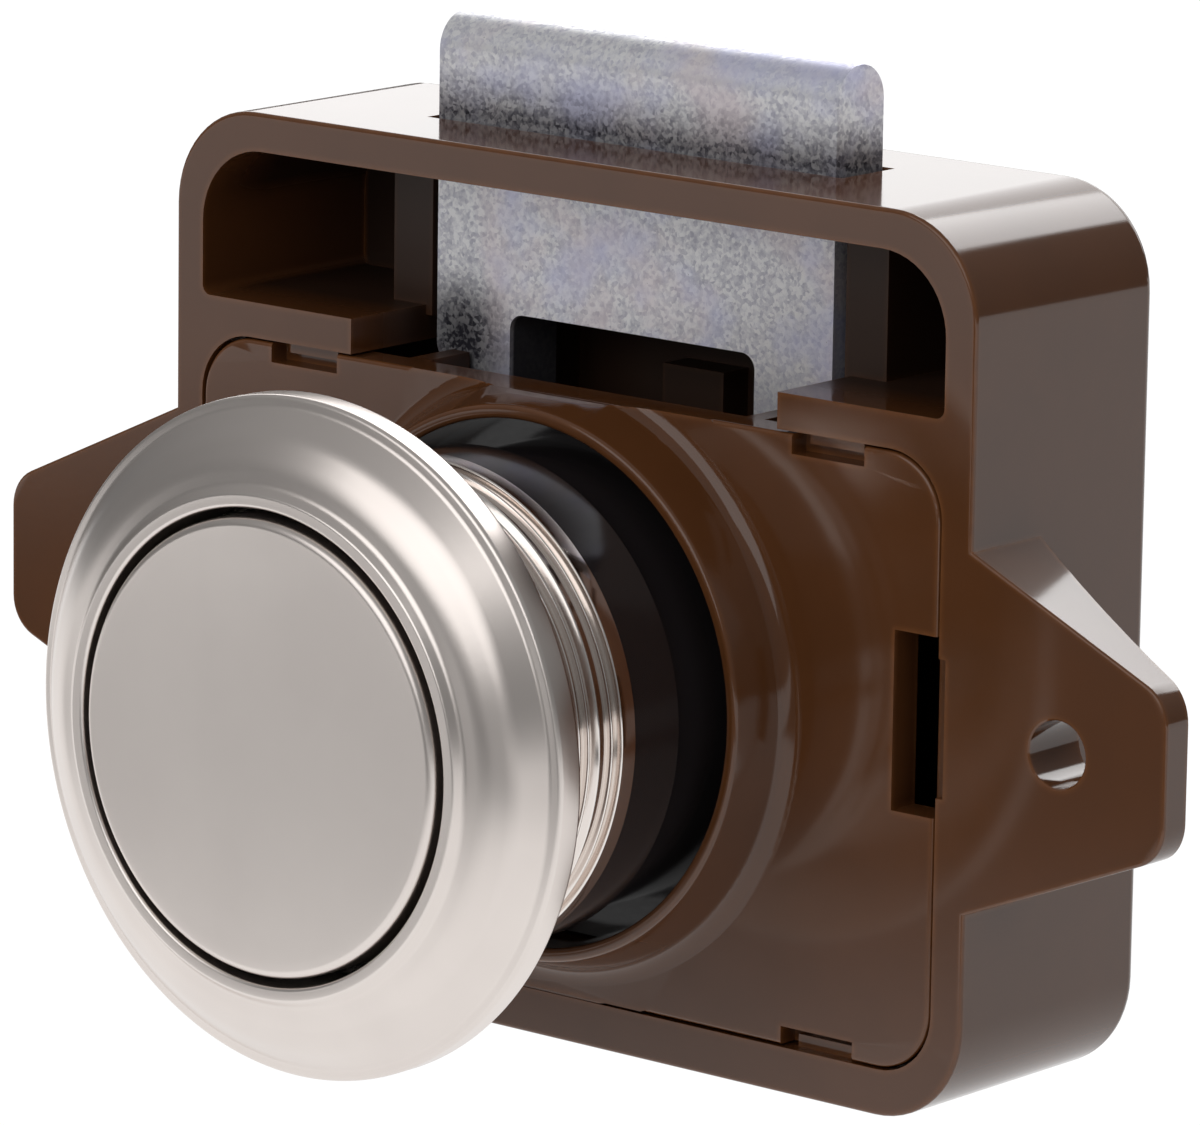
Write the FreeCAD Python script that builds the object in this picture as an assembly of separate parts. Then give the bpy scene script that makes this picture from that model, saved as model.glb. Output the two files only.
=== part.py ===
import FreeCAD, Part
import math
import os

# Push-button furniture lock. Sizes in millimetres.
# The origin is where the button's axis meets the plane of the door's back face.
# -Y points out of the door towards the hand, +Z is the way the bolt shoots.

# Case
case_half_width = 24.85
case_top = 25.0
case_bottom = -18.0
case_depth = 13.7
case_corner_radius = 5.0
case_back_edge_radius = 0.7
case_front_edge_radius = 0.2
side_wall = 1.75
top_wall = 1.9
bottom_wall = 2.25
back_wall = 1.8
window_sill = 15.6
window_corner_radius = 3.8
sill_corner_radius = 0.5
ledge_thickness = 1.75
ledge_gap_half_width = 13.3
cover_seat_width = 1.3
chamber_corner_radius = 2.4

# Ears with the screw holes
ear_length = 11.3
ear_root_top = 9.65
ear_root_bottom = -7.5
ear_tip_top = 4.45
ear_tip_bottom = -2.9
ear_tip_radius = 2.1
ear_root_thickness = 4.75
ear_middle_reach = 4.7
ear_middle_thickness = 3.4
ear_tip_thickness = 1.65
ear_edge_radius = 0.15
screw_hole_radius = 1.6
screw_hole_setback = 6.15
screw_height = 1.0
screw_hole_lip = 0.08

# Bolt
bolt_half_width = 12.35
bolt_front = 5.25
bolt_thickness = 3.5
bolt_throw = 5.1
bolt_travel = 5.3
shoulder_height = 12.8
shoulder_radius = 1.2
leg_outer = 11.1
leg_corner_radius = 0.8
bolt_window_half_width = 7.65
bolt_window_top = 15.9
bolt_window_radius = 0.8
crossbar_height = 2.9
bolt_side_gap = 0.55
bolt_face_gap = 0.25

# Cover
cover_thickness = 1.8
cover_gap = 0.12
cover_corner_radius = 3.1
cover_edge_radius = 0.2
collar_height = 2.85
collar_gap = 0.9
collar_wall = 0.6
collar_foot_width = 1.6
collar_fillet = 1.1
collar_lip_radius = 0.28
notch_setback = 6.63
notch_half_width = 2.15
notch_height = 0.95
low_notch_height = 0.9
notch_floor = 1.1
tongue_half_width = 1.6
tongue_height = 0.6
tongue_front = 0.7
side_slot_width = 2.48
side_slot_top = 5.4
side_slot_bottom = -3.2
wall_pocket_depth = 0.4
wall_pocket_margin = 1.0

# Guide sleeve and rosette
sleeve_setback = 0.1
sleeve_waist_step = 0.6
sleeve_shoulder = -5.0
sleeve_flange_width = 2.7
sleeve_flange_thickness = 1.2
sleeve_flange_front = 0.2
sleeve_flange_flat_width = 1.2
sleeve_flange_gap = 0.2
sleeve_edge_radius = 0.15
spigot_length = 2.7
thread_gap = 0.04
running_gap = 0.08
door_thickness = 17.0
neck_end = -8.3
neck_wall = 0.65
ring_depth = 0.38
neck_band_radius = 0.1
rosette_overhang = 4.1
rosette_edge = 1.5
rosette_edge_radius = 0.25
button_gap = 0.55
rosette_height = 4.05
bead_width = 0.5
bead_radius = 0.2
bead_flank_width = 0.35
bead_flank_drop = 0.42
valley_width = 1.0
valley_drop = 0.21
valley_radius = 0.5
roll_width = 1.2
roll_drop = 0.67
roll_radius = 3.0
brim_width = 0.55
brim_drop = 0.1
brim_radius = 0.4
ring_crests = [-12.25, -11.5, -10.85, -9.85]
ring_half_widths = [0.27, 0.16, 0.27, 0.16]
ring_crest_radius = 0.08
smooth_band = 1.05

# Plunger and button cap
button_radius = 10.8
button_proud = 0.2
button_crown = 0.15
button_edge_radius = 0.45
cap_wall = 0.6
cap_wrap = 0.35
cap_length = 9.7
button_travel = 7.2
plunger_back = 1.3
tail_half_width = 7.2
tail_top = 8.2
tail_bottom = -5.8
tail_wall_gap = 0.3
spring_bore_radius = 4.1
spring_bore_end = -2.2

# Drive pins, and the slanted grooves that they run in
pin_radius = 0.9
pin_y = 3.2
pin_z = 3.4
pin_engagement = 1.25
pin_gap = 0.07
groove_depth = 1.4
lug_radius = 1.25
lug_width = 1.95

# Latch pin and the heart-shaped track that it follows
latch_wire_radius = 0.45
latch_bend_radius = 0.8
latch_tip_y = 3.0
latch_pivot_setback = 1.0
latch_height = 9.35
latch_tip_bottom = 7.35
latch_leg_top = 12.3
latch_swing = 10.2
track_half_width = 0.62
track_depth = 1.2
return_leg_offset = 1.9
post_half_width = 1.9
post_depth = 1.9
post_bottom = 10.0
post_top = 13.6

# Main spring
spring_wire_radius = 0.35
spring_mean_radius = 3.2
spring_turns = 8
spring_boss_radius = 2.3
spring_boss_length = 3.4

# Guides
rib_width = 2.5
rib_front = 5.5
rail_width = 1.5
rail_inset = 0.8
rail_low = -11.5
side_rib_gap = 0.3
side_rib_width = 2.0
side_rib_top = 7.0
side_rib_low = -12.0
side_rib_setback = 0.2
pad_half_height = 3.0
cover_rail_low = 6.2
cover_rail_width = 1.1

# How far joined solids reach into each other, and how far cuts run past the surface
weld = 0.5
overrun = 1.0

# Sizes worked out from the ones above
ear_tip = case_half_width + ear_length
screw_x = ear_tip - screw_hole_setback
inner_side = case_half_width - side_wall
inner_top = case_top - top_wall
inner_bottom = case_bottom + bottom_wall
inner_back = case_depth - back_wall
ledge_underside = window_sill - ledge_thickness
bolt_back = bolt_front + bolt_thickness
bolt_top = case_top + bolt_throw
bolt_window_bottom = tail_bottom - tail_wall_gap
cover_half_width = inner_side - cover_gap
cover_top = ledge_underside - cover_gap
cover_bottom = inner_bottom + cover_gap
notch_place = cover_half_width - notch_setback
rosette_bore_radius = button_radius + button_gap
neck_radius = rosette_bore_radius + neck_wall
neck_groove_radius = neck_radius - ring_depth
rosette_radius = neck_radius + rosette_overhang
sleeve_radius = neck_radius - sleeve_setback
sleeve_waist_radius = sleeve_radius - sleeve_waist_step
sleeve_flange_radius = sleeve_waist_radius + sleeve_flange_width
sleeve_flange_flat = sleeve_waist_radius + sleeve_flange_flat_width
sleeve_bore_radius = button_radius - cap_wall + cap_wrap
collar_hole_radius = sleeve_radius + collar_gap
collar_base_radius = collar_hole_radius + collar_foot_width
plunger_radius = sleeve_bore_radius - running_gap
sleeve_flange_back = sleeve_flange_front + sleeve_flange_thickness
rosette_back = -door_thickness
rosette_lip = rosette_back - rosette_height
button_rim = rosette_lip - button_proud
button_face = button_rim - button_crown
cap_end = button_rim + cap_length
tail_back = inner_back - tail_wall_gap
spigot_radius = rosette_bore_radius - thread_gap
latch_pivot_y = inner_back - latch_pivot_setback


def point(x, y, z):
    return FreeCAD.Vector(x, y, z)


def block(x_low, x_high, y_low, y_high, z_low, z_high):
    corner = point(x_low, y_low, z_low)
    return Part.makeBox(x_high - x_low, y_high - y_low, z_high - z_low, corner)


def rod(radius, y_low, y_high, x=0.0, z=0.0):
    return Part.makeCylinder(radius, y_high - y_low, point(x, y_low, z), point(0, 1, 0))


def cross_rod(radius, x_low, x_high, y, z):
    return Part.makeCylinder(radius, x_high - x_low, point(x_low, y, z), point(1, 0, 0))


def mirrored(shape):
    return shape.mirror(point(0, 0, 0), point(1, 0, 0))


def both_sides(shape):
    return shape.fuse(mirrored(shape))


def soft_outline(corners, place):
    # A closed wire with a tangent arc at each corner (a, b, radius). place turns a and b into a point.
    arcs = []
    for i, (a, b, radius) in enumerate(corners):
        here = point(a, b, 0)
        back = point(*corners[i - 1][:2], 0) - here
        ahead = point(*corners[(i + 1) % len(corners)][:2], 0) - here
        half = back.getAngle(ahead) / 2
        back.normalize()
        ahead.normalize()
        reach = radius / math.tan(half)
        bisector = (back + ahead).normalize()
        middle = here + bisector * (radius / math.sin(half) - radius)
        arcs.append((here + back * reach, middle, here + ahead * reach, radius))
    edges = []
    for i, (start, middle, end, radius) in enumerate(arcs):
        if radius > 0:
            spots = [place(spot.x, spot.y) for spot in (start, middle, end)]
            edges.append(Part.Arc(*spots).toShape())
        following = arcs[(i + 1) % len(arcs)][0]
        if (following - end).Length > 1e-6:
            edges.append(Part.makeLine(place(end.x, end.y), place(following.x, following.y)))
    return Part.Wire(edges)


def plate(corners, y_low, y_high):
    # An outline in x and z, as thick as from y_low to y_high.
    wire = soft_outline(corners, lambda a, b: point(a, y_low, b))
    return Part.Face(wire).extrude(point(0, y_high - y_low, 0))


def soft_block(half_width, y_low, y_high, z_low, z_high, low_radius, high_radius):
    corners = [(-half_width, z_low, low_radius), (half_width, z_low, low_radius),
               (half_width, z_high, high_radius), (-half_width, z_high, high_radius)]
    return plate(corners, y_low, y_high)


def turned(corners):
    # An outline in radius and y, turned about the button's axis.
    wire = soft_outline(corners, lambda a, b: point(a, b, 0))
    return Part.Face(wire).revolve(point(0, 0, 0), point(0, 1, 0), 360)


def round_edges_at(shape, radius, y):
    chosen = []
    for edge in shape.Edges:
        if all(abs(vertex.Y - y) < 1e-4 for vertex in edge.Vertexes):
            chosen.append(edge)
    return shape.makeFillet(radius, chosen)


def slot_between(start, end, half_width, place, depth):
    # A channel with round ends along a straight line. place maps the line's plane into space.
    along = point(end[0] - start[0], end[1] - start[1], 0)
    along.normalize()
    side = point(-along.y, along.x, 0) * half_width
    tip = along * half_width
    first = point(*start, 0)
    last = point(*end, 0)
    spots = [first + side, first - tip, first - side, last - side, last + tip, last + side]
    a, b, c, d, e, f = [place(spot.x, spot.y) for spot in spots]
    edges = [Part.Arc(a, b, c).toShape(), Part.makeLine(c, d),
             Part.Arc(d, e, f).toShape(), Part.makeLine(f, a)]
    return Part.Face(Part.Wire(edges)).extrude(depth)


def single(shape):
    # The one solid of a shape, with its leftover seams taken out.
    return shape.removeSplitter().Solids[0]


def ear():
    root = case_half_width - side_wall / 2
    slope_top = (ear_root_top - ear_tip_top) / ear_length
    slope_bottom = (ear_root_bottom - ear_tip_bottom) / ear_length
    inside = case_half_width - root
    outline = [(root, ear_root_bottom + slope_bottom * inside, 0), (ear_tip, ear_tip_bottom, ear_tip_radius),
               (ear_tip, ear_tip_top, ear_tip_radius), (root, ear_root_top + slope_top * inside, 0)]
    flat = round_edges_at(plate(outline, 0, ear_root_thickness * 2), ear_edge_radius, 0)
    # The back is hollowed by an arc from the case to the tip.
    start = point(root, ear_root_thickness + inside, 0)
    middle = point(case_half_width + ear_middle_reach, ear_middle_thickness, 0)
    end = point(ear_tip, ear_tip_thickness, 0)
    beyond = [point(ear_tip + overrun, ear_tip_thickness, 0), point(ear_tip + overrun, -overrun, 0),
              point(root, -overrun, 0), start]
    edges = [Part.Arc(start, middle, end).toShape(), Part.makePolygon([end] + beyond)]
    profile = Part.Wire([edges[0]] + edges[1].Edges)
    profile.translate(point(0, 0, ear_root_bottom - overrun))
    wedge = Part.Face(profile).extrude(point(0, 0, ear_root_top - ear_root_bottom + 2 * overrun))
    hole = rod(screw_hole_radius, -overrun, ear_root_thickness * 2, screw_x, screw_height)
    lip = Part.makeCone(screw_hole_radius + screw_hole_lip, screw_hole_radius, screw_hole_lip,
                        point(screw_x, 0, screw_height), point(0, 1, 0))
    return flat.common(wedge).cut(hole).cut(lip)


def chambers():
    # The spaces inside the case: the window at the front top, the cover's rebate and the room behind it.
    window = soft_block(inner_side, -overrun, inner_back, window_sill, inner_top,
                        sill_corner_radius, window_corner_radius)
    passage = block(-ledge_gap_half_width, ledge_gap_half_width, -overrun, inner_back,
                    ledge_underside - ledge_thickness, window_sill + ledge_thickness)
    rebate = soft_block(inner_side, -overrun, cover_thickness, inner_bottom, ledge_underside,
                        cover_corner_radius, cover_corner_radius)
    room = soft_block(inner_side - cover_seat_width, cover_thickness, inner_back,
                      inner_bottom + cover_seat_width, ledge_underside, chamber_corner_radius, 0)
    pocket = block(inner_side - side_wall, inner_side + wall_pocket_depth, -overrun, cover_thickness,
                   side_slot_bottom + wall_pocket_margin, side_slot_top - wall_pocket_margin)
    return window.fuse([passage, rebate, room, both_sides(pocket)])


def bolt_guides():
    # Ribs beside the bolt at the window, rails behind it and ribs beside its legs.
    rib_inner = bolt_half_width + bolt_side_gap
    upper_rib = block(rib_inner, rib_inner + rib_width, rib_front, inner_back + weld,
                      window_sill - weld, inner_top + weld)
    rail_outer = leg_outer - rail_inset
    rail = block(rail_outer - rail_width, rail_outer, bolt_back + bolt_face_gap, inner_back + weld,
                 rail_low, inner_top + weld)
    side_inner = leg_outer + side_rib_gap
    side_rib = block(side_inner, side_inner + side_rib_width, cover_thickness + side_rib_setback,
                     inner_back + weld, side_rib_low, side_rib_top)
    pad = block(side_inner, side_inner + side_rib_width, sleeve_flange_back, inner_back,
                -pad_half_height, pad_half_height)
    return both_sides(upper_rib.fuse([rail, side_rib, pad]))


def tongues():
    # Small tongues on the case that reach into the cover's notches and hold it down.
    upper = block(notch_place - tongue_half_width, notch_place + tongue_half_width, tongue_front, notch_floor,
                  ledge_underside - tongue_height, ledge_underside + weld)
    lower = block(notch_place - tongue_half_width, notch_place + tongue_half_width, tongue_front, notch_floor,
                  inner_bottom - weld, inner_bottom + tongue_height)
    return both_sides(upper.fuse(lower))


def latch_post():
    # The post on the back wall that holds the latch pin's upright leg.
    post = block(-post_half_width, post_half_width, inner_back - post_depth, inner_back + weld,
                 post_bottom, post_top)
    depth = latch_leg_top + running_gap - post_bottom + overrun
    hole = Part.makeCylinder(latch_wire_radius + running_gap, depth, point(0, latch_pivot_y, post_bottom - overrun))
    return post.cut(hole)


def case():
    shell = soft_block(case_half_width, 0, case_depth, case_bottom, case_top,
                       case_corner_radius, case_corner_radius)
    shell = round_edges_at(shell, case_back_edge_radius, case_depth)
    shell = round_edges_at(shell, case_front_edge_radius, 0)
    shell = shell.fuse(both_sides(ear())).cut(chambers())
    boss = rod(spring_boss_radius, inner_back - spring_boss_length, inner_back + weld)
    shell = shell.fuse([bolt_guides(), tongues(), latch_post(), boss])
    slot = block(-bolt_half_width - bolt_side_gap, bolt_half_width + bolt_side_gap, bolt_front - bolt_face_gap,
                 bolt_back + bolt_face_gap, inner_top - top_wall, case_top + overrun)
    return single(shell.cut(slot))


def cover_blank(y_low, y_high):
    return soft_block(cover_half_width, y_low, y_high, cover_bottom, cover_top,
                      cover_corner_radius, cover_corner_radius)


def collar():
    # The raised ring round the hole, with a soft foot and a rounded lip. The cover's edges cut across its foot.
    lip_outer = collar_hole_radius + collar_wall
    foot = collar_base_radius + collar_fillet * 2
    ring = turned([(collar_hole_radius, cover_thickness, 0),
                   (collar_hole_radius, -collar_height, collar_lip_radius),
                   (lip_outer, -collar_height, collar_lip_radius), (collar_base_radius, 0, collar_fillet),
                   (foot, 0, 0), (foot, cover_thickness, 0)])
    return ring.common(cover_blank(-collar_height - overrun, cover_thickness))


def flanged_disc(radius, flat, y_low, y_high):
    # The disc at the sleeve's foot. Its two flats keep it from turning in the cover.
    return rod(radius, y_low, y_high).common(block(-radius, radius, y_low, y_high, -flat, flat))


def cover_openings():
    notches = []
    for z_low, z_high in ((cover_top - notch_height, cover_top + overrun),
                          (cover_bottom - overrun, cover_bottom + low_notch_height)):
        notches.append(block(notch_place - notch_half_width, notch_place + notch_half_width,
                             -overrun, notch_floor, z_low, z_high))
    slot = block(cover_half_width - side_slot_width, cover_half_width + overrun,
                 -overrun, cover_thickness + overrun, side_slot_bottom, side_slot_top)
    return both_sides(slot.fuse(notches))


def cover_plate():
    sheet = round_edges_at(cover_blank(0, cover_thickness), cover_edge_radius, 0)
    sheet = sheet.cut(rod(collar_base_radius, -overrun, cover_thickness + overrun))
    sheet = sheet.fuse(collar()).cut(cover_openings())
    rail = block(leg_outer - cover_rail_width, leg_outer, cover_thickness - weld, bolt_front - bolt_face_gap,
                 cover_rail_low, cover_top)
    seat = flanged_disc(sleeve_flange_radius + sleeve_flange_gap, sleeve_flange_flat + sleeve_flange_gap,
                        sleeve_flange_front, cover_thickness)
    return single(sheet.fuse(both_sides(rail)).cut(seat))


def bolt():
    half = bolt_thickness / 2
    nose_centre = bolt_top - half
    foot = bolt_window_bottom - crossbar_height
    right = [(bolt_half_width, nose_centre, 0), (bolt_half_width, shoulder_height, shoulder_radius),
             (leg_outer, shoulder_height, 0), (leg_outer, foot, leg_corner_radius)]
    left = [(-x, z, radius) for x, z, radius in reversed(right)]
    body = plate(right + left, bolt_front, bolt_back)
    body = body.fuse(cross_rod(half, -bolt_half_width, bolt_half_width, bolt_front + half, nose_centre))
    body = body.cut(soft_block(bolt_window_half_width, bolt_front - overrun, bolt_back + overrun,
                               bolt_window_bottom, bolt_window_top, bolt_window_radius, bolt_window_radius))
    lug = cross_rod(lug_radius, bolt_window_half_width, bolt_window_half_width + lug_width, pin_y, pin_z)
    lug = lug.fuse(block(bolt_window_half_width, bolt_window_half_width + lug_width, pin_y, bolt_front + half,
                         pin_z - lug_radius, pin_z + lug_radius))
    hole = cross_rod(pin_radius, bolt_window_half_width - overrun, bolt_half_width, pin_y, pin_z)
    return single(body.fuse(both_sides(lug)).cut(both_sides(hole)))


def drive_pins():
    inner_end = tail_half_width - pin_engagement
    pin = cross_rod(pin_radius, inner_end, bolt_window_half_width + lug_width, pin_y, pin_z)
    return Part.makeCompound([pin, mirrored(pin)])


def guide_sleeve():
    spigot_end = neck_end - spigot_length
    tube = turned([(sleeve_bore_radius, spigot_end, 0), (spigot_radius, spigot_end, sleeve_edge_radius),
                   (spigot_radius, neck_end, 0), (sleeve_radius, neck_end, 0),
                   (sleeve_radius, sleeve_shoulder, sleeve_edge_radius),
                   (sleeve_waist_radius, sleeve_shoulder, 0), (sleeve_waist_radius, sleeve_flange_back, 0),
                   (sleeve_bore_radius, sleeve_flange_back, 0)])
    foot = flanged_disc(sleeve_flange_radius, sleeve_flange_flat, sleeve_flange_front, sleeve_flange_back)
    foot = foot.cut(rod(sleeve_bore_radius, sleeve_flange_front - overrun, sleeve_flange_back + overrun))
    return single(tube.fuse(foot))


def neck_outline():
    # The rings round the neck, from the rosette's back to the smooth band at the neck's end.
    outline = [(neck_groove_radius, rosette_back, 0)]
    for crest, half_width in zip(ring_crests, ring_half_widths):
        outline.append((neck_groove_radius, crest - half_width, 0))
        outline.append((neck_radius, crest, ring_crest_radius))
        outline.append((neck_groove_radius, crest + half_width, 0))
    outline.append((neck_groove_radius, neck_end - smooth_band, 0))
    outline.append((neck_radius, neck_end - smooth_band, neck_band_radius))
    outline.append((neck_radius, neck_end, neck_band_radius))
    return outline


def face_outline():
    # The rosette's face from its edge inwards: a flat brim, a rolled slope, a valley and a bead at the bore.
    brim_edge = rosette_back - rosette_edge
    bead_outer = rosette_bore_radius + bead_width
    foot_radius = bead_outer + bead_flank_width
    foot = rosette_lip + bead_flank_drop
    roll_start = foot_radius + valley_width
    return [(rosette_radius, rosette_back, rosette_edge_radius),
            (rosette_radius, brim_edge, rosette_edge_radius),
            (rosette_radius - brim_width, brim_edge - brim_drop, brim_radius),
            (roll_start + roll_width, foot + valley_drop + roll_drop, roll_radius),
            (roll_start, foot + valley_drop, roll_radius), (foot_radius, foot, valley_radius),
            (bead_outer, rosette_lip, bead_radius), (rosette_bore_radius, rosette_lip, bead_radius)]


def rosette():
    return turned([(rosette_bore_radius, neck_end, 0)] + list(reversed(neck_outline())) + face_outline())


def button_cap():
    # The face is crowned by one wide arc that runs from near its middle to the rounded edge.
    inner = button_radius - cap_wall
    middle = button_radius / 2
    crown_turn = math.atan(button_crown / middle)
    crown_radius = (middle - 2 * button_edge_radius) / math.tan(crown_turn / 2)
    return turned([(0, button_face, 0), (middle, button_face, crown_radius),
                   (button_radius, button_rim, button_edge_radius), (button_radius, cap_end, 0),
                   (inner, cap_end, 0), (inner, button_rim + cap_wall, 0), (0, button_rim + cap_wall, 0)])


def drive_groove():
    start = (pin_y, pin_z)
    end = (pin_y + button_travel, pin_z - bolt_travel)
    floor = tail_half_width - groove_depth
    return slot_between(start, end, pin_radius + pin_gap, lambda a, b: point(floor, a, b),
                        point(groove_depth + overrun, 0, 0))


def latch_end():
    # Where the latch pin's tip ends in the track, once the button is out, on the plunger as it lies when in.
    length = latch_pivot_y - latch_tip_y
    angle = math.radians(latch_swing)
    return (length * math.sin(angle), latch_pivot_y - length * math.cos(angle) + button_travel)


def heart_track():
    lock = (0, latch_tip_y)
    out = latch_end()
    lead = (-return_leg_offset, latch_tip_y + 2 * track_half_width)
    heel = (-return_leg_offset, latch_tip_y - track_half_width / 2)
    floor = tail_top - track_depth
    legs = []
    for start, end in ((lock, out), (out, lead), (lead, heel), (heel, lock)):
        legs.append(slot_between(start, end, track_half_width, lambda a, b: point(a, b, floor),
                                 point(0, 0, track_depth)))
    return legs[0].fuse(legs[1:])


def plunger():
    front = rod(button_radius - cap_wall, button_rim + cap_wall, cap_end)
    body = front.fuse(rod(plunger_radius, cap_end, plunger_back))
    tail = rod(plunger_radius, plunger_back, tail_back)
    tail = tail.common(block(-tail_half_width, tail_half_width, plunger_back, tail_back, tail_bottom, tail_top))
    bore = rod(spring_bore_radius, spring_bore_end, tail_back + overrun)
    return single(body.fuse(tail).cut([bore, both_sides(drive_groove()), heart_track()]))


def swept(path_corners, radius):
    # A round wire along straight runs in y and z, joined by tangent arcs.
    spots = [point(0, *corner) for corner in path_corners]
    edges = []
    start = spots[0]
    for i in range(1, len(spots) - 1):
        back = (spots[i - 1] - spots[i]).normalize()
        ahead = (spots[i + 1] - spots[i]).normalize()
        half = back.getAngle(ahead) / 2
        reach = latch_bend_radius / math.tan(half)
        outward = latch_bend_radius / math.sin(half) - latch_bend_radius
        middle = spots[i] + (back + ahead).normalize() * outward
        edges.append(Part.makeLine(start, spots[i] + back * reach))
        edges.append(Part.Arc(spots[i] + back * reach, middle, spots[i] + ahead * reach).toShape())
        start = spots[i] + ahead * reach
    edges.append(Part.makeLine(start, spots[-1]))
    path = Part.Wire(edges)
    direction = spots[1] - spots[0]
    section = Part.Wire([Part.makeCircle(radius, spots[0], direction)])
    return path.makePipeShell([section], True, True)


def latch_pin():
    return swept([(latch_pivot_y, latch_leg_top), (latch_pivot_y, latch_height), (latch_tip_y, latch_height),
                  (latch_tip_y, latch_tip_bottom)], latch_wire_radius)


def main_spring():
    # Each half turn is a half ring between opposite ends, tilted by half the pitch, so that the halves run on.
    first = spring_bore_end + spring_wire_radius
    half_pitch = (inner_back - spring_wire_radius - first) / (2 * spring_turns)
    halves = []
    for i in range(2 * spring_turns):
        side = 1 if i % 2 == 0 else -1
        start = point(side * spring_mean_radius, first + i * half_pitch, 0)
        end = point(-side * spring_mean_radius, first + (i + 1) * half_pitch, 0)
        section = Part.Face(Part.Wire([Part.makeCircle(spring_wire_radius, start, point(0, 0, 1))]))
        axis = point(0, 0, 1).cross(end - start)
        halves.append(section.revolve((start + end) / 2, axis, side * 180))
    return single(halves[0].fuse(halves[1:]))


pieces = {
    "case": case,
    "cover_plate": cover_plate,
    "bolt": bolt,
    "drive_pins": drive_pins,
    "guide_sleeve": guide_sleeve,
    "rosette": rosette,
    "button_cap": button_cap,
    "plunger": plunger,
    "latch_pin": latch_pin,
    "main_spring": main_spring,
}

os.makedirs("parts", exist_ok=True)
for name, make in pieces.items():
    shape = make()
    shape.exportStep(os.path.join("parts", name + ".step"))
    box = shape.BoundBox
    print(name, "valid", shape.isValid(), "solids", len(shape.Solids), "volume", round(shape.Volume, 2),
          "x", round(box.XMin, 2), round(box.XMax, 2), "y", round(box.YMin, 2), round(box.YMax, 2),
          "z", round(box.ZMin, 2), round(box.ZMax, 2))
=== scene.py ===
import math

import bmesh
import bpy
import numpy as np
from mathutils import Matrix, Vector


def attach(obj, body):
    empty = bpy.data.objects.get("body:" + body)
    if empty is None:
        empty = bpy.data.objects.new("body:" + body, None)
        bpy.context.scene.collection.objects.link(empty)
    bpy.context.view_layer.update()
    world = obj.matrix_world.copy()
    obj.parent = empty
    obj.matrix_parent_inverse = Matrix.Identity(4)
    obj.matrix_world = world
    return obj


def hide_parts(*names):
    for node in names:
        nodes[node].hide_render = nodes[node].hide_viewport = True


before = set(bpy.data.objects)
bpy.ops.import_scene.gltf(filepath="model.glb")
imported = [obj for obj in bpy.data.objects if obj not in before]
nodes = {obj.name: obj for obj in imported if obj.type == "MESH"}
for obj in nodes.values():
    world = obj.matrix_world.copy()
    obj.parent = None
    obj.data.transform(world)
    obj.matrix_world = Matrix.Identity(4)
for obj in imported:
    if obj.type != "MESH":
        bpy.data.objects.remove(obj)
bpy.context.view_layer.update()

# Push-button furniture lock. Lengths in the dictionaries of pieces, stage, lamps and camera are millimetres,
# and mm turns them into metres. Lengths in the materials' dictionaries are metres, as their nodes want them.
mm = 0.001
print("frame loaded:", sorted(nodes))


# Mesh helpers

smoothAngle = 28  # degrees: turned pieces are smooth up to here
skinSmoothAngle = 26
weldGap = 1e-7  # metres
skinWeldGap = 2e-7


def makePiece(name, points, faces, material, body, replaced=()):
    # points is an n by 3 array in metres, faces an m by 4 array of point numbers
    mesh = bpy.data.meshes.new(name)
    mesh.from_pydata(points.tolist(), [], faces.tolist())
    mesh.validate()
    bm = bmesh.new()
    bm.from_mesh(mesh)
    bmesh.ops.remove_doubles(bm, verts=bm.verts, dist=weldGap)
    bmesh.ops.recalc_face_normals(bm, faces=bm.faces)
    bm.to_mesh(mesh)
    bm.free()
    mesh.polygons.foreach_set("use_smooth", [True] * len(mesh.polygons))
    mesh.set_sharp_from_angle(angle=math.radians(smoothAngle))
    mesh.materials.append(material)
    piece = bpy.data.objects.new(name, mesh)
    bpy.context.scene.collection.objects.link(piece)
    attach(piece, body)
    if replaced:
        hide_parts(*replaced)
    return piece


def gridFaces(rows, columns):
    # Quads between neighbouring rows and columns of a grid of points whose columns close round
    i, j = np.meshgrid(np.arange(rows - 1), np.arange(columns), indexing="ij")
    nextJ = (j + 1) % columns
    corners = [i * columns + j, i * columns + nextJ, (i + 1) * columns + nextJ, (i + 1) * columns + j]
    return np.stack(corners, -1).reshape(-1, 4)


def turnedPoints(outline, steps):
    # Turns an outline about the Y axis: point = (r cos t, y, r sin t) for each outline point (r, y), angle t
    angle = np.linspace(0, 2 * math.pi, steps, endpoint=False)
    radius, along = outline[:, :1], outline[:, 1:]
    grid = np.stack([radius * np.cos(angle), np.repeat(along, steps, 1), radius * np.sin(angle)], -1)
    return grid.reshape(-1, 3) * mm


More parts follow.
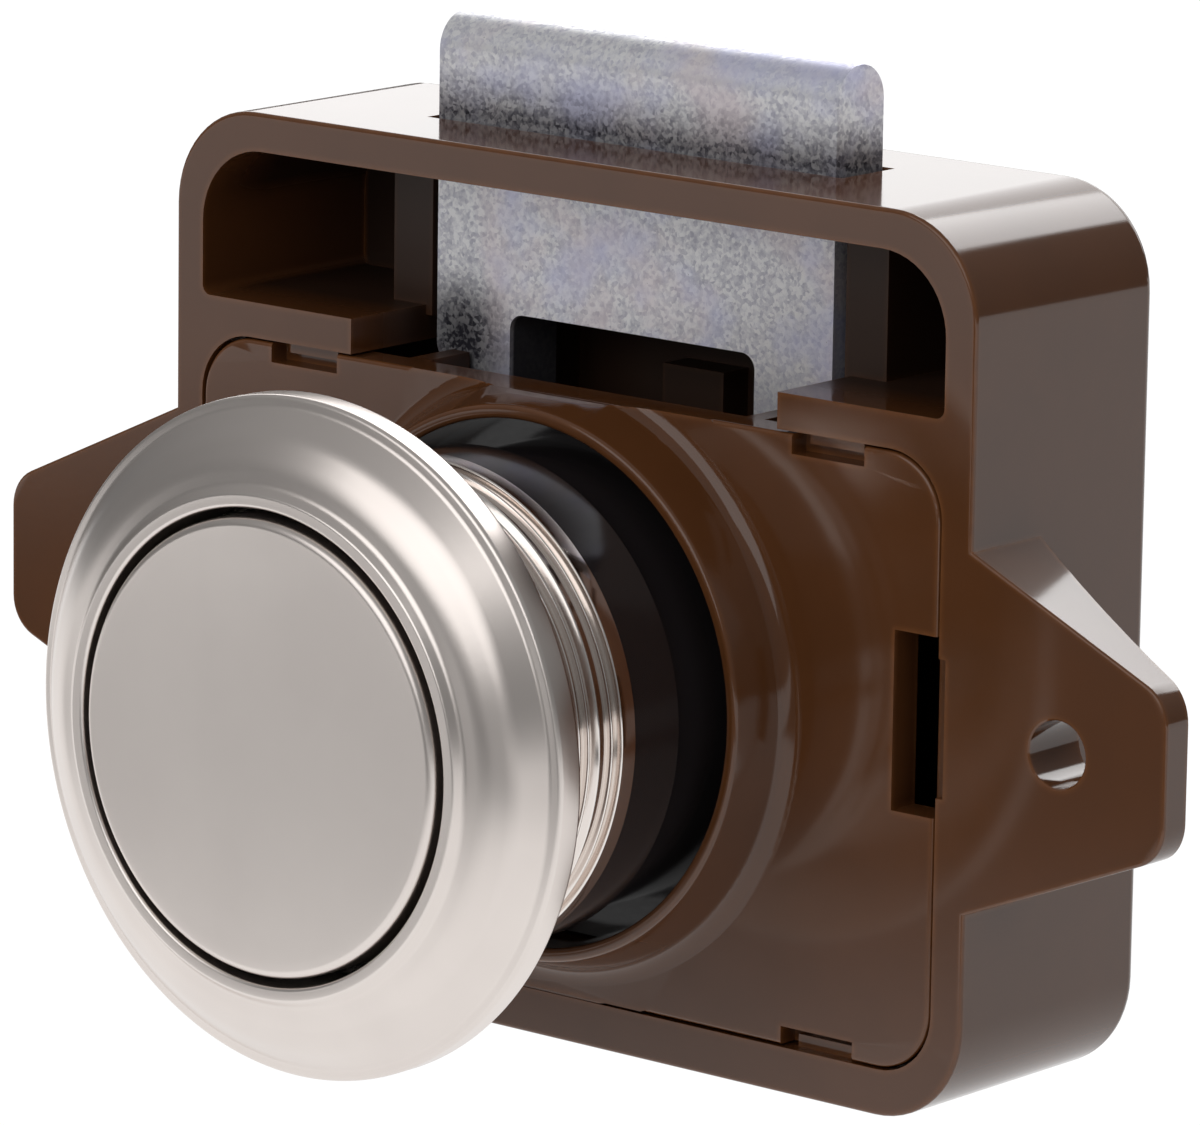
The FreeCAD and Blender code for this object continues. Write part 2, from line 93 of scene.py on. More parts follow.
def smoothOutline(corners, samples):
    # A closed outline through corners (r, y, radius): each corner is a tangent arc of its radius,
    # centre = corner + bisector * radius / sin(half angle), sampled evenly in angle
    spots = np.array([c[:2] for c in corners], float)
    radii = np.array([c[2] for c in corners], float)
    back = np.roll(spots, 1, 0) - spots
    ahead = np.roll(spots, -1, 0) - spots
    back /= np.linalg.norm(back, axis=1)[:, None]
    ahead /= np.linalg.norm(ahead, axis=1)[:, None]
    half = np.arccos(np.clip((back * ahead).sum(1), -1, 1)) / 2
    reach = radii / np.tan(half)
    middle = back + ahead
    middle /= np.maximum(np.linalg.norm(middle, axis=1), 1e-9)[:, None]
    centre = spots + middle * (radii / np.sin(half))[:, None]
    start = spots + back * reach[:, None] - centre
    end = spots + ahead * reach[:, None] - centre
    first = np.arctan2(start[:, 1], start[:, 0])
    turn = np.arctan2(end[:, 1], end[:, 0]) - first
    turn = (turn + math.pi) % (2 * math.pi) - math.pi
    share = np.linspace(0, 1, samples)
    angle = first[:, None] + turn[:, None] * share
    arc = centre[:, None, :] + radii[:, None, None] * np.stack([np.cos(angle), np.sin(angle)], -1)
    arc = np.where(radii[:, None, None] > 0, arc, spots[:, None, :])
    return np.concatenate([row if radius > 0 else row[:1] for row, radius in zip(arc, radii)])


def turnedPiece(name, corners, steps, material, body, replaced=(), samples=10, low=-100.0, high=100.0):
    # A closed outline turned about the Y axis, then held between the flats z = low and z = high
    outline = smoothOutline(corners, samples)
    outline = np.vstack([outline, outline[:1]])
    points = turnedPoints(outline, steps)
    points[:, 2] = np.clip(points[:, 2], low * mm, high * mm)
    return makePiece(name, points, gridFaces(len(outline), steps), material, body, replaced)


# Node helpers

def addNode(tree, kind, inputs=None, **settings):
    node = tree.nodes.new(kind)
    for key, value in settings.items():
        setattr(node, key, value)
    for key, value in (inputs or {}).items():
        socket = node.inputs[key]
        if hasattr(value, "is_output"):
            tree.links.new(value, socket)
        else:
            socket.default_value = value
    return node


def mathNode(tree, operation, a, b=0.0):
    return addNode(tree, "ShaderNodeMath", {0: a, 1: b}, operation=operation).outputs[0]


def product(tree, first, *others):
    for other in others:
        first = mathNode(tree, "MULTIPLY", first, other)
    return first


def largest(tree, first, *others):
    for other in others:
        first = mathNode(tree, "MAXIMUM", first, other)
    return first


def vectorNode(tree, operation, output, a, b=(0, 0, 0)):
    return addNode(tree, "ShaderNodeVectorMath", {0: a, 1: b}, operation=operation).outputs[output]


def spread(tree, value, low, high, newLow=0.0, newHigh=1.0):
    ends = {"Value": value, "From Min": low, "From Max": high, "To Min": newLow, "To Max": newHigh}
    return addNode(tree, "ShaderNodeMapRange", ends).outputs["Result"]


def mixColours(tree, share, a, b):
    return addNode(tree, "ShaderNodeMix", {0: share, 6: a, 7: b}, data_type="RGBA").outputs[2]


def noise(tree, place, scale, detail, roughness=0.5):
    inputs = {"Vector": place, "Scale": scale, "Detail": detail, "Roughness": roughness}
    return addNode(tree, "ShaderNodeTexNoise", inputs).outputs


def objectPlace(tree):
    # The place in the piece's own coordinates, whole and as X, Y and Z
    place = addNode(tree, "ShaderNodeTexCoord").outputs["Object"]
    return place, addNode(tree, "ShaderNodeSeparateXYZ", {"Vector": place}).outputs


# Node groups that several materials share

def newGroup(name, inputs, outputs):
    group = bpy.data.node_groups.new(name, "ShaderNodeTree")
    for label, kind, value in inputs:
        socket = group.interface.new_socket(name=label, in_out="INPUT", socket_type=kind)
        socket.default_value = value
    for label, kind in outputs:
        group.interface.new_socket(name=label, in_out="OUTPUT", socket_type=kind)
    return group, group.nodes.new("NodeGroupInput").outputs, group.nodes.new("NodeGroupOutput").inputs


edgeValues = {
    "samples": 2, "flat": 0.995, "sharp": 0.8,
    "patchScale": 900.0, "patchDetail": 4.0, "patchLow": 0.35, "patchHigh": 0.65,
}


def buildEdgeMask(values):
    # Where the rounded normal leaves the true one, the surface is an edge: 0 on flats and up to 1 on edges
    group, given, result = newGroup(
        "edgeMask", [("Width", "NodeSocketFloat", 0.0003), ("Patchiness", "NodeSocketFloat", 0.4)],
        [("Mask", "NodeSocketFloat")])
    rounded = addNode(group, "ShaderNodeBevel", {"Radius": given["Width"]}, samples=values["samples"])
    true = addNode(group, "ShaderNodeNewGeometry").outputs["Normal"]
    along = vectorNode(group, "DOT_PRODUCT", "Value", rounded.outputs[0], true)
    edge = spread(group, along, values["flat"], values["sharp"])
    place = addNode(group, "ShaderNodeTexCoord").outputs["Object"]
    patch = spread(group, noise(group, place, values["patchScale"], values["patchDetail"])["Fac"],
                   values["patchLow"], values["patchHigh"])
    kept = mathNode(group, "SUBTRACT", 1.0, product(group, given["Patchiness"], patch))
    group.links.new(product(group, edge, kept), result["Mask"])
    return group


grainValues = {
    "cloudScale": 130.0, "cloudDetail": 3.0, "cloudLow": 0.3, "cloudHigh": 0.7,
    "fineScale": 2600.0, "fineDetail": 3.0,
}


def buildMouldedGrain(values):
    # Fine ripple and clouding of a moulded surface: a height, a roughness and a colour between the two given
    group, given, result = newGroup(
        "mouldedGrain",
        [("Colour", "NodeSocketColor", (0.1, 0.05, 0.03, 1)),
         ("Second Colour", "NodeSocketColor", (0.08, 0.04, 0.02, 1)),
         ("Roughness", "NodeSocketFloat", 0.2), ("Clouding", "NodeSocketFloat", 0.06)],
        [("Colour", "NodeSocketColor"), ("Roughness", "NodeSocketFloat"), ("Height", "NodeSocketFloat")])
    place = addNode(group, "ShaderNodeTexCoord").outputs["Object"]
    cloud = noise(group, place, values["cloudScale"], values["cloudDetail"])["Fac"]
    fine = noise(group, place, values["fineScale"], values["fineDetail"])["Fac"]
    share = spread(group, cloud, values["cloudLow"], values["cloudHigh"])
    group.links.new(mixColours(group, share, given["Colour"], given["Second Colour"]), result["Colour"])
    swing = product(group, mathNode(group, "SUBTRACT", cloud, 0.5), given["Clouding"])
    group.links.new(mathNode(group, "ADD", given["Roughness"], swing), result["Roughness"])
    group.links.new(fine, result["Height"])
    return group


edgeMask = buildEdgeMask(edgeValues)
mouldedGrain = buildMouldedGrain(grainValues)


# Materials

def newMaterial(name):
    material = bpy.data.materials.new(name)
    material.use_nodes = True
    tree = material.node_tree
    return material, tree, tree.nodes["Principled BSDF"]


def placeGroup(tree, group, values):
    node = tree.nodes.new("ShaderNodeGroup")
    node.node_tree = group
    for key, value in values.items():
        node.inputs[key].default_value = value
    return node


def placeGrain(tree, values):
    return placeGroup(tree, mouldedGrain, {
        "Colour": values["colour"], "Second Colour": values["second"],
        "Roughness": values["roughness"], "Clouding": values["clouding"]}).outputs


def placeEdge(tree, values):
    inputs = {"Width": values["edgeWidth"], "Patchiness": values["edgePatches"]}
    return placeGroup(tree, edgeMask, inputs).outputs["Mask"]


def addBump(tree, shader, height, values):
    inputs = {"Height": height, "Strength": values["bump"], "Distance": values["bumpDepth"]}
    tree.links.new(addNode(tree, "ShaderNodeBump", inputs).outputs["Normal"], shader.inputs["Normal"])


brownPlastic = {
    "colour": (0.128, 0.047, 0.0165, 1), "second": (0.108, 0.040, 0.014, 1), "edge": (0.27, 0.098, 0.030, 1),
    "roughness": 0.10, "clouding": 0.04, "ior": 1.52, "bump": 0.04, "bumpDepth": 0.00002,
    "edgeWidth": 0.00045, "edgePatches": 0.45,
    "insideStart": 0.0007, "insideEnd": 0.0045, "insideBack": 0.0134, "wall": 0.0228, "roof": 0.0228,
    "base": -0.0164, "wallFade": 0.0003, "insideShade": 0.28, "insideRoughness": 0.5,
}


def makeBrownPlastic(name, values):
    material, tree, shader = newMaterial(name)
    grain = placeGrain(tree, values)
    # Painted highlight: where the edge mask finds an edge, the colour lightens to a brighter orange, standing
    # in for light glowing through the plastic's edges
    colour = mixColours(tree, placeEdge(tree, values), grain["Colour"], values["edge"])
    # Painted shade: inside the case the colour is darkened and the moulding made rougher; the share grows
    # with the depth y behind the front face
    place, at = objectPlace(tree)
    deep = product(tree, spread(tree, at["Y"], values["insideStart"], values["insideEnd"]),
                   mathNode(tree, "LESS_THAN", at["Y"], values["insideBack"]))
    sideways = mathNode(tree, "ABSOLUTE", at["X"])
    within = spread(tree, sideways, values["wall"], values["wall"] + values["wallFade"], 1.0, 0.0)
    below = spread(tree, at["Z"], values["roof"], values["roof"] + values["wallFade"], 1.0, 0.0)
    above = mathNode(tree, "GREATER_THAN", at["Z"], values["base"])
    inside = product(tree, deep, within, product(tree, below, above))
    shade = spread(tree, inside, 0.0, 1.0, 1.0, values["insideShade"])
    shaded = addNode(tree, "ShaderNodeHueSaturation", {"Value": shade, "Color": colour})
    tree.links.new(shaded.outputs["Color"], shader.inputs["Base Color"])
    dulled = addNode(tree, "ShaderNodeMix", {0: inside, 2: grain["Roughness"], 3: values["insideRoughness"]})
    tree.links.new(dulled.outputs[0], shader.inputs["Roughness"])
    shader.inputs["IOR"].default_value = values["ior"]
    addBump(tree, shader, grain["Height"], values)
    return material


blackPlastic = {
    "colour": (0.019, 0.016, 0.017, 1), "second": (0.024, 0.020, 0.021, 1),
    "roughness": 0.14, "clouding": 0.06, "ior": 1.6, "bump": 0.08, "bumpDepth": 0.00002,
}


def makeBlackPlastic(name, values):
    material, tree, shader = newMaterial(name)
    grain = placeGrain(tree, values)
    tree.links.new(grain["Colour"], shader.inputs["Base Color"])
    tree.links.new(grain["Roughness"], shader.inputs["Roughness"])
    shader.inputs["IOR"].default_value = values["ior"]
    addBump(tree, shader, grain["Height"], values)
    return material


satinNickel = {
    "colour": (0.80, 0.735, 0.693, 1), "second": (0.75, 0.686, 0.648, 1), "edge": (0.93, 0.90, 0.86, 1),
    "roughness": 0.29, "clouding": 0.05, "bump": 0.16, "bumpDepth": 0.00001,
    "edgeWidth": 0.00016, "edgePatches": 0.2, "frontEnd": -0.0168, "threadStart": -0.0160, "threadShare": 0.4,
}


def makeSatinNickel(name, values):
    material, tree, shader = newMaterial(name)
    grain = placeGrain(tree, values)
    # Painted highlight: edges are lightened where the edge mask finds them
    colour = mixColours(tree, placeEdge(tree, values), grain["Colour"], values["edge"])
    tree.links.new(colour, shader.inputs["Base Color"])
    # The front is satin and the cut thread behind it is smoother
    place, at = objectPlace(tree)
    share = spread(tree, at["Y"], values["frontEnd"], values["threadStart"], 1.0, values["threadShare"])
    tree.links.new(product(tree, grain["Roughness"], share), shader.inputs["Roughness"])
    shader.inputs["Metallic"].default_value = 1.0
    addBump(tree, shader, grain["Height"], values)
    return material


zincPlate = {
    "light": (0.98, 0.98, 1.0, 1), "dark": (0.58, 0.58, 0.67, 1), "warm": (0.92, 0.80, 0.84, 1),
    "cool": (0.70, 0.72, 1.0, 1), "paintedShadeColour": (0.035, 0.033, 0.045, 1),
    "grain": 5200.0, "grainShare": 0.3,
    "fine": 3200.0, "fineDetail": 5.0, "fineRoughness": 0.7, "fineShare": 0.7,
    "toneLow": 0.28, "toneHigh": 0.62,
    "clouds": 260.0, "cloudDetail": 3.0, "cloudLow": 0.48, "cloudHigh": 0.72,
    "warmShare": 0.6, "coolShare": 0.7,
    "roughStart": 0.2, "roughEnd": 0.8, "roughLow": 0.26, "roughHigh": 0.5,
    "metal": 0.5, "bump": 0.3, "bumpDepth": 0.00002,
    "paintedShadeLow": 0.3, "paintedShadeHigh": 0.6, "paintedShadeDeep": 1.35, "paintedShadePale": 0.75,
    "lineMiddle": 0.0254, "lineHalf": 0.0022, "lineDepth": 0.75,
    "spotPlace": (-0.0106, 0.0052, 0.0144), "spotCore": 0.0003, "spotReach": 0.0036, "spotDepth": 1.1,
    "windowSide": 0.00775, "windowTop": 0.0160, "windowFront": 0.0054, "windowFade": 0.0002,
    "windowDepth": 0.9,
}


def makeZincPlate(name, values):
    # Zinc plate: fine grains of light and dark grey under warm and cool clouds, and three marks of painted
    # shade:
    # a painted dark line of shade and reflection where the bolt leaves the case, strongest at lineMiddle in
    # z, a painted dark spot of shade that fades with distance, and painted shade on the walls of the window,
    # behind its front edge
    material, tree, shader = newMaterial(name)
    place, at = objectPlace(tree)
    cells = addNode(tree, "ShaderNodeTexVoronoi", {"Vector": place, "Scale": values["grain"]}).outputs
    cellTone = addNode(tree, "ShaderNodeSeparateColor", {"Color": cells["Color"]}).outputs[0]
    fine = noise(tree, place, values["fine"], values["fineDetail"], values["fineRoughness"])["Fac"]
    tone = mathNode(tree, "ADD", product(tree, cellTone, values["grainShare"]),
                    product(tree, fine, values["fineShare"]))
    lightness = spread(tree, tone, values["toneLow"], values["toneHigh"])
    base = mixColours(tree, lightness, values["dark"], values["light"])
    cloud = noise(tree, place, values["clouds"], values["cloudDetail"])["Color"]
    clouds = addNode(tree, "ShaderNodeSeparateColor", {"Color": cloud}).outputs
    for part, share, tint in ((clouds[0], "warmShare", "warm"), (clouds[1], "coolShare", "cool")):
        amount = spread(tree, part, values["cloudLow"], values["cloudHigh"], 0.0, values[share])
        base = mixColours(tree, amount, base, values[tint])
    # Painted shade and dark reflection: a dark line where the bolt leaves the case and a dark spot, stronger
    # where the grain is dark
    away = mathNode(tree, "ABSOLUTE", mathNode(tree, "SUBTRACT", at["Z"], values["lineMiddle"]))
    line = product(tree, spread(tree, away, 0.0, values["lineHalf"], 1.0, 0.0), values["lineDepth"])
    distance = vectorNode(tree, "DISTANCE", "Value", place, values["spotPlace"])
    spot = product(tree, spread(tree, distance, values["spotCore"], values["spotReach"], 1.0, 0.0),
                   values["spotDepth"])
    speckle = spread(tree, tone, values["paintedShadeLow"], values["paintedShadeHigh"],
                     values["paintedShadeDeep"], values["paintedShadePale"])
    marks = product(tree, largest(tree, line, spot), speckle)
    # Painted shade on the walls of the window behind its front edge
    behind = spread(tree, at["Y"], values["windowFront"], values["windowFront"] + values["windowFade"])
    inner = mathNode(tree, "LESS_THAN", mathNode(tree, "ABSOLUTE", at["X"]), values["windowSide"])
    low = mathNode(tree, "LESS_THAN", at["Z"], values["windowTop"])
    walls = product(tree, inner, product(tree, low, behind), values["windowDepth"])
    # The painted shade mixes the plate towards its dark shade colour
    paintedShade = largest(tree, spread(tree, marks, 0.0, 1.0), walls)
    tree.links.new(mixColours(tree, paintedShade, base, values["paintedShadeColour"]), shader.inputs["Base Color"])
    rough = spread(tree, tone, values["roughStart"], values["roughEnd"],
                   values["roughHigh"], values["roughLow"])
    tree.links.new(rough, shader.inputs["Roughness"])
    shader.inputs["Metallic"].default_value = values["metal"]
    addBump(tree, shader, tone, values)
    return material


springSteel = {
    "colour": (0.50, 0.50, 0.51, 1), "second": (0.42, 0.42, 0.43, 1), "roughness": 0.3, "clouding": 0.1,
    "bump": 0.1, "bumpDepth": 0.00001,
}


def makeSpringSteel(name, values):
    material, tree, shader = newMaterial(name)
    grain = placeGrain(tree, values)
    tree.links.new(grain["Colour"], shader.inputs["Base Color"])
    tree.links.new(grain["Roughness"], shader.inputs["Roughness"])
    shader.inputs["Metallic"].default_value = 1.0
    addBump(tree, shader, grain["Height"], values)
    return material


materials = {
    "brown": makeBrownPlastic("brownPlastic", brownPlastic),
    "black": makeBlackPlastic("blackPlastic", blackPlastic),
    "nickel": makeSatinNickel("satinNickel", satinNickel),
    "zinc": makeZincPlate("zincPlate", zincPlate),
    "steel": makeSpringSteel("springSteel", springSteel),
}
print("materials ready")

finishOf = {
    "case": "brown", "cover_plate": "brown", "bolt": "zinc", "drive_pins": "steel", "guide_sleeve": "black",
    "rosette": "nickel", "button_cap": "nickel", "plunger": "black", "latch_pin": "steel",
    "main_spring": "steel",
}
for nodeName, finish in finishOf.items():
    nodes[nodeName].data.materials.clear()
    nodes[nodeName].data.materials.append(materials[finish])


# Rosette, button cap and guide sleeve: outlines of radius, y and corner radius,
# turned about the button's axis

rosetteSizes = {
    "bore": 11.35, "lipBore": 11.2, "lipEnd": -20.2, "lip": -21.05, "back": -17.0, "radius": 16.1,
    "brimEdge": -18.5, "edgeRadius": 0.25, "brimWidth": 0.55, "brimDrop": 0.1, "brimRadius": 0.4,
    "rollEnd": (14.4, -19.75), "rollStart": (13.2, -20.42), "rollRadius": 3.0,
    "foot": (12.2, -20.63), "footRadius": 0.5, "beadWidth": 0.65, "beadRadius": 0.2,
    "neck": 12.0, "groove": 11.62, "neckEnd": -8.3, "band": 1.05, "bandRadius": 0.1, "crestRadius": 0.08,
    "crests": ((-12.25, 0.27), (-11.5, 0.16), (-10.85, 0.27), (-9.85, 0.16)), "steps": 320,
}


def makeRosette(values):
    v = values
    beadEnd = v["lipBore"] + v["beadWidth"]
    outline = [(v["bore"], v["lipEnd"], 0), (v["lipBore"], v["lipEnd"], 0),
               (v["lipBore"], v["lip"], v["beadRadius"]), (beadEnd, v["lip"], v["beadRadius"]),
               (*v["foot"], v["footRadius"]), (*v["rollStart"], v["rollRadius"]),
               (*v["rollEnd"], v["rollRadius"]),
               (v["radius"] - v["brimWidth"], v["brimEdge"] - v["brimDrop"], v["brimRadius"]),
               (v["radius"], v["brimEdge"], v["edgeRadius"]), (v["radius"], v["back"], v["edgeRadius"]),
               (v["groove"], v["back"], 0)]
    for crest, half in v["crests"]:
        outline += [(v["groove"], crest - half, 0), (v["neck"], crest, v["crestRadius"]),
                    (v["groove"], crest + half, 0)]
    bandStart = v["neckEnd"] - v["band"]
    outline += [(v["groove"], bandStart, 0), (v["neck"], bandStart, v["bandRadius"]),
                (v["neck"], v["neckEnd"], v["bandRadius"]), (v["bore"], v["neckEnd"], 0)]
    turnedPiece("rosetteSkin", outline, v["steps"], materials["nickel"], "housing",
                ["rosette"])


capSizes = {
    "radius": 10.8, "rim": -21.25, "crown": 0.15, "edge": 0.45, "end": -11.55, "wall": 0.6, "steps": 320,
    "samples": 24,
}


def makeCap(values):
    # The crown is an arc that is flat on the axis and meets the edge's round
    v = values
    middle = v["radius"] / 2
    crownRadius = (middle - 2 * v["edge"]) / math.tan(math.atan(v["crown"] / middle) / 2)
    inner = v["radius"] - v["wall"]
    outline = [(0, v["rim"] - v["crown"], 0), (middle, v["rim"] - v["crown"], crownRadius),
               (v["radius"], v["rim"], v["edge"]), (v["radius"], v["end"], 0), (inner, v["end"], 0),
               (inner, v["rim"] + v["wall"], 0), (0, v["rim"] + v["wall"], 0)]
    turnedPiece("capSkin", outline, v["steps"], materials["nickel"], "push_button",
                ["button_cap"], samples=v["samples"])


sleeveSizes = {
    "bore": 10.55, "spigot": 11.31, "spigotEnd": -11.0, "neckEnd": -8.3, "radius": 11.9, "shoulder": -5.0,
    "waist": 11.3, "flange": 14.0, "flangeFront": 0.2, "flangeBack": 1.4, "flat": 12.5, "edge": 0.15,
    "steps": 288,
}


def makeSleeve(values):
    v = values
    outline = [(v["bore"], v["spigotEnd"], 0), (v["spigot"], v["spigotEnd"], v["edge"]),
               (v["spigot"], v["neckEnd"], 0), (v["radius"], v["neckEnd"], 0),
               (v["radius"], v["shoulder"], v["edge"]), (v["waist"], v["shoulder"], 0),
               (v["waist"], v["flangeFront"], 0), (v["flange"], v["flangeFront"], 0),
               (v["flange"], v["flangeBack"], 0), (v["bore"], v["flangeBack"], 0)]
    turnedPiece("sleeveSkin", outline, v["steps"], materials["black"], "housing",
                ["guide_sleeve"], low=-v["flat"], high=v["flat"])


# The collar stands a hair proud of the cover, so that its highlights run true round the lip and foot.
# Its foot sinks under the cover's face.

collarSizes = {
    "hole": 12.8, "lip": -2.85, "lipWidth": 0.6, "lipRadius": 0.28, "foot": 14.4, "fillet": 1.1, "end": 16.0,
    "inside": 1.7, "under": 0.06, "top": 13.72, "proud": 0.012, "steps": 360, "samples": 14,
}


def makeCollar(values):
    v = values
    hole, lip, outer = v["hole"] - v["proud"], v["lip"] - v["proud"], v["hole"] + v["lipWidth"] + v["proud"]
    outline = [(hole, v["inside"], 0), (hole, lip, v["lipRadius"]), (outer, lip, v["lipRadius"]),
               (v["foot"], -v["proud"], v["fillet"]), (v["end"], v["under"], 0), (v["foot"], v["inside"], 0)]
    turnedPiece("collarSkin", outline, v["steps"], materials["brown"], "housing",
                samples=v["samples"], high=v["top"])


makeRosette(rosetteSizes)
makeCap(capSizes)
makeSleeve(sleeveSizes)
makeCollar(collarSizes)
print("turned pieces made")


# Skins: a merged copy of a solid's mesh, with its sharp edges softened by a small bevel

caseSkin = {"width": 0.08, "segments": 2, "angle": 50}
coverSkin = {"width": 0.06, "segments": 2, "angle": 50}
boltSkin = {"width": 0.14, "segments": 3, "angle": 50}


def makeSkin(name, node, values, material, body):
    mesh = nodes[node].data.copy()
    mesh.name = name
    bm = bmesh.new()
    bm.from_mesh(mesh)
    bmesh.ops.remove_doubles(bm, verts=bm.verts, dist=skinWeldGap)
    bm.to_mesh(mesh)
    bm.free()
    for layer in list(mesh.attributes):
        if layer.name in ("custom_normal", "sharp_face"):
            mesh.attributes.remove(layer)
    mesh.polygons.foreach_set("use_smooth", [True] * len(mesh.polygons))
    mesh.set_sharp_from_angle(angle=math.radians(skinSmoothAngle))
    mesh.materials.clear()
    mesh.materials.append(material)
    piece = bpy.data.objects.new(name, mesh)
    bpy.context.scene.collection.objects.link(piece)
    bevel = piece.modifiers.new("softEdges", "BEVEL")
    bevel.width = values["width"] * mm
    bevel.segments = values["segments"]
    bevel.limit_method = "ANGLE"
    bevel.angle_limit = math.radians(values["angle"])
    bevel.miter_outer = "MITER_ARC"
    shading = piece.modifiers.new("evenShading", "WEIGHTED_NORMAL")
    shading.keep_sharp = True
    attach(piece, body)
    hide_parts(node)


makeSkin("caseSkin", "case", caseSkin, materials["brown"], "housing")
makeSkin("coverSkin", "cover_plate", coverSkin, materials["brown"], "housing")
makeSkin("boltSkin", "bolt", boltSkin, materials["zinc"], "bolt")
print("skins made")


# Stage, light and camera

stage = {
    "floorHeight": -150.0, "floorRadius": 2600.0, "floorSteps": 64, "floorColour": (0.82, 0.82, 0.83, 1),
    "floorRoughness": 0.6,
}
# What the camera and the reflections see of the floor. Places are metres from the middle of the floor.
floorLook = {
    "near": (0.47, 0.57), "far": (0.74, 0.86), "left": (-0.45, -0.25), "front": (-0.32, -0.12),
    "right": (0.40, 0.54), "dim": 0.12, "farShare": 1.0,
    "shadowReach": (0.45, 0.60), "cameraShare": 0.85, "cameraStrength": 1.07,
}


def makePaleFloor(name, values, look):
    material, tree, shader = newMaterial(name)
    shader.inputs["Base Color"].default_value = values["floorColour"]
    shader.inputs["Roughness"].default_value = values["floorRoughness"]
    path = addNode(tree, "ShaderNodeLightPath").outputs
    place, at = objectPlace(tree)
    level = vectorNode(tree, "MULTIPLY", "Vector", place, (1, 1, 0))
    reach = vectorNode(tree, "LENGTH", "Value", level)
    # White to the camera. Near the lock a share of the lit floor shows through, which keeps the shadow.
    cover = spread(tree, reach, *look["shadowReach"], look["cameraShare"], 1.0)
    white = product(tree, path["Is Camera Ray"], cover)
    seen = largest(tree, path["Is Glossy Ray"], path["Is Transmission Ray"], white)
    # To reflections the floor glows as painted light: dimmed as painted shade in front of the lock, from the
    # distance near outward and between its left and right parts, with a glowing white strip far off on the
    # left.
    close = spread(tree, reach, *look["near"], 1.0, 0.0)
    aside = largest(tree, spread(tree, at["Y"], *look["front"]), spread(tree, at["X"], *look["right"]))
    strip = product(tree, spread(tree, reach, *look["far"], 0.0, look["farShare"]),
                    spread(tree, at["X"], *look["left"], 1.0, 0.0))
    dimmed = spread(tree, largest(tree, close, aside, strip), 0.0, 1.0, look["dim"], 1.0)
    strength = largest(tree, product(tree, path["Is Camera Ray"], look["cameraStrength"]), dimmed)
    glow = addNode(tree, "ShaderNodeEmission", {"Color": (1, 1, 1, 1), "Strength": strength})
    mixed = addNode(tree, "ShaderNodeMixShader", {0: seen, 1: shader.outputs[0], 2: glow.outputs[0]})
    tree.links.new(mixed.outputs[0], tree.nodes["Material Output"].inputs["Surface"])
    return material


def makeFloor(values, look):
    # A disc of triangles round its middle: point = (R cos t, R sin t, height)
    steps = values["floorSteps"]
    angle = np.linspace(0, 2 * math.pi, steps, endpoint=False)
    rim = np.stack([np.cos(angle), np.sin(angle), np.zeros(steps)], -1) * values["floorRadius"]
    points = np.vstack([rim, [[0, 0, 0]]]) + [0, 0, values["floorHeight"]]
    order = np.arange(steps)
    faces = np.stack([order, (order + 1) % steps, np.full(steps, steps)], -1)
    mesh = bpy.data.meshes.new("floor")
    mesh.from_pydata((points * mm).tolist(), [], faces.tolist())
    mesh.materials.append(makePaleFloor("paleFloor", values, look))
    floor = bpy.data.objects.new("floor", mesh)
    bpy.context.scene.collection.objects.link(floor)


makeFloor(stage, floorLook)

room = {"low": 0.16, "high": 0.36}


def makeRoom(values):
    # The room's grey rises from the horizon to the ceiling, and the camera sees it white
    world = bpy.data.worlds.new("room")
    bpy.context.scene.world = world
    world.use_nodes = True
    tree = world.node_tree
    around = addNode(tree, "ShaderNodeTexCoord").outputs["Generated"]
    height = addNode(tree, "ShaderNodeSeparateXYZ", {"Vector": around}).outputs["Z"]
    tone = spread(tree, height, 0.0, 1.0, values["low"], values["high"])
    camera = addNode(tree, "ShaderNodeLightPath").outputs["Is Camera Ray"]
    background = tree.nodes["Background"]
    background.inputs["Color"].default_value = (1, 1, 1, 1)
    tree.links.new(largest(tree, tone, camera), background.inputs["Strength"])


makeRoom(room)


def direction(azimuth, elevation):
    # azimuth 0 is at -Y, azimuth 90 at +X
    a, e = math.radians(azimuth), math.radians(elevation)
    return Vector((math.sin(a) * math.cos(e), -math.cos(a) * math.cos(e), math.sin(e)))


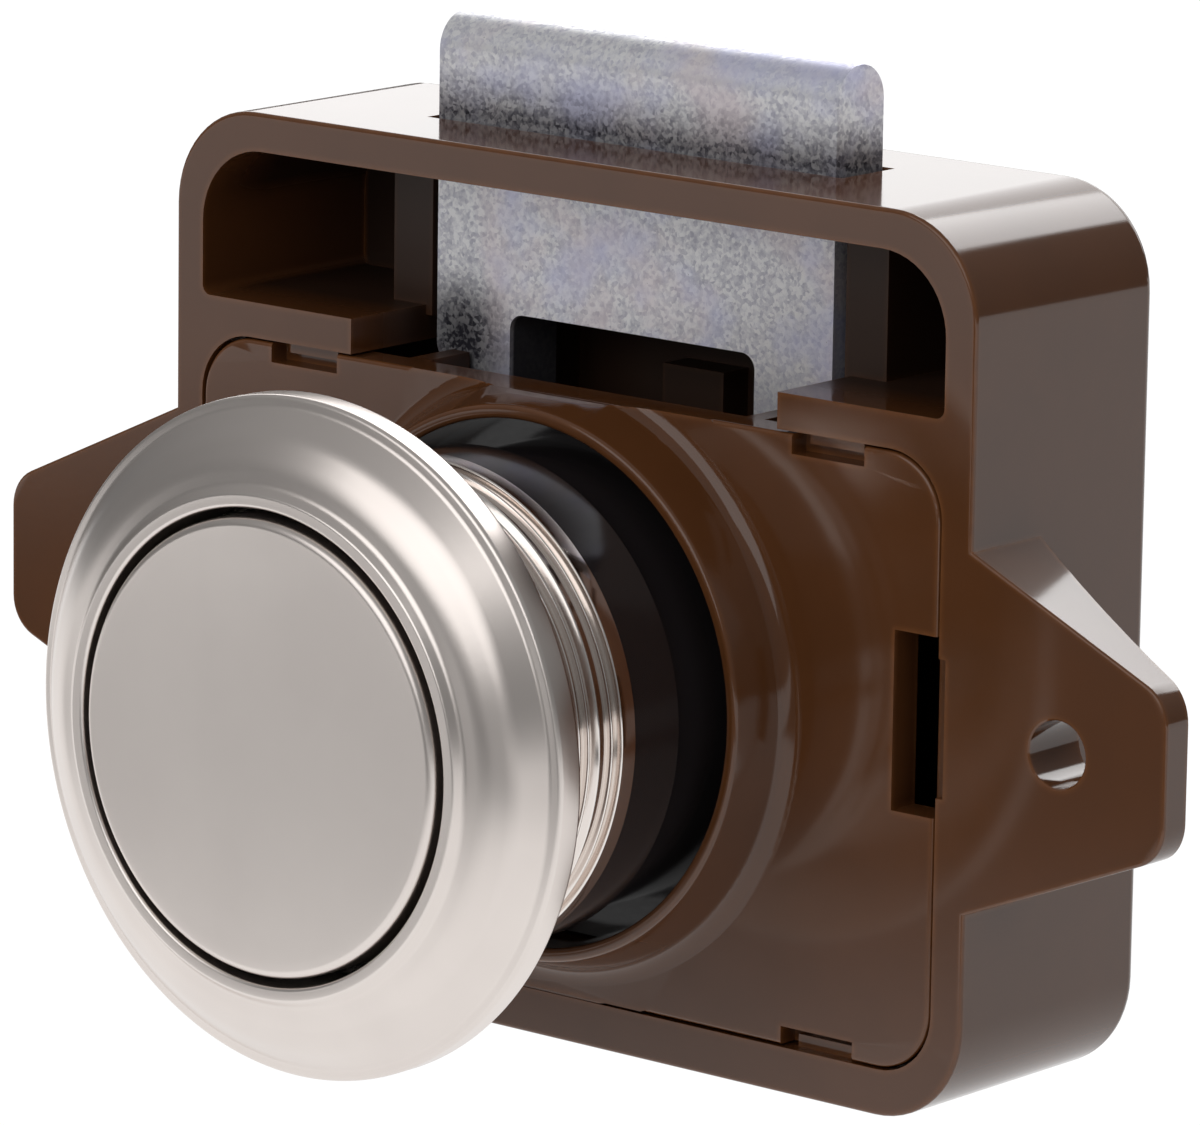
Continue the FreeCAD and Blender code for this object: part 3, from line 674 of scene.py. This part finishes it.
softboxes = {
    "keyBox": {"azimuth": 2, "elevation": 30, "distance": 620,
               "width": 640, "height": 440, "radiance": 1.25},
    "backBox": {"azimuth": 202, "elevation": 26, "distance": 700,
                "width": 900, "height": 480, "radiance": 1.9},
    "topBox": {"azimuth": 186, "elevation": 44, "distance": 640,
               "width": 420, "height": 190, "radiance": 3.2},
}


def makeSoftbox(name, values):
    # An area lamp of even radiance: its power is radiance times its area times pi
    lamp = bpy.data.lights.new(name, "AREA")
    lamp.shape = "RECTANGLE"
    lamp.size, lamp.size_y = values["width"] * mm, values["height"] * mm
    lamp.energy = values["radiance"] * lamp.size * lamp.size_y * math.pi
    box = bpy.data.objects.new(name, lamp)
    bpy.context.scene.collection.objects.link(box)
    outward = direction(values["azimuth"], values["elevation"])
    box.location = outward * values["distance"] * mm
    box.rotation_euler = outward.to_track_quat("Z", "Y").to_euler()


for boxName, boxValues in softboxes.items():
    makeSoftbox(boxName, boxValues)

view = {
    "azimuth": 40.008, "elevation": 12.094, "roll": 0.817, "distance": 398.31, "right": 2.05, "up": 5.413,
    "lens": 249.65, "sensor": 36.0, "clipStart": 10.0, "clipEnd": 20000.0,
}


def makeCamera(values):
    # The camera looks at a point a little right of and above the button's axis,
    # and rolls about its line of sight
    outward = direction(values["azimuth"], values["elevation"])
    a = math.radians(values["azimuth"])
    level = Vector((math.cos(a), math.sin(a), 0))
    upright = outward.cross(level)
    roll = math.radians(values["roll"])
    across = math.cos(roll) * level + math.sin(roll) * upright
    along = -math.sin(roll) * level + math.cos(roll) * upright
    target = values["right"] * level + values["up"] * upright
    spot = (target + values["distance"] * outward) * mm
    data = bpy.data.cameras.new("camera")
    data.sensor_fit = "HORIZONTAL"
    data.sensor_width = values["sensor"]  # the lens and its sensor stay in millimetres
    data.lens = values["lens"]
    data.clip_start = values["clipStart"] * mm
    data.clip_end = values["clipEnd"] * mm
    camera = bpy.data.objects.new("camera", data)
    bpy.context.scene.collection.objects.link(camera)
    columns = Matrix((across, along, outward)).transposed()
    camera.matrix_world = Matrix.Translation(spot) @ columns.to_4x4()
    bpy.context.scene.camera = camera


makeCamera(view)
bpy.context.scene.view_settings.view_transform = "Standard"
print("stage, lights and camera ready")
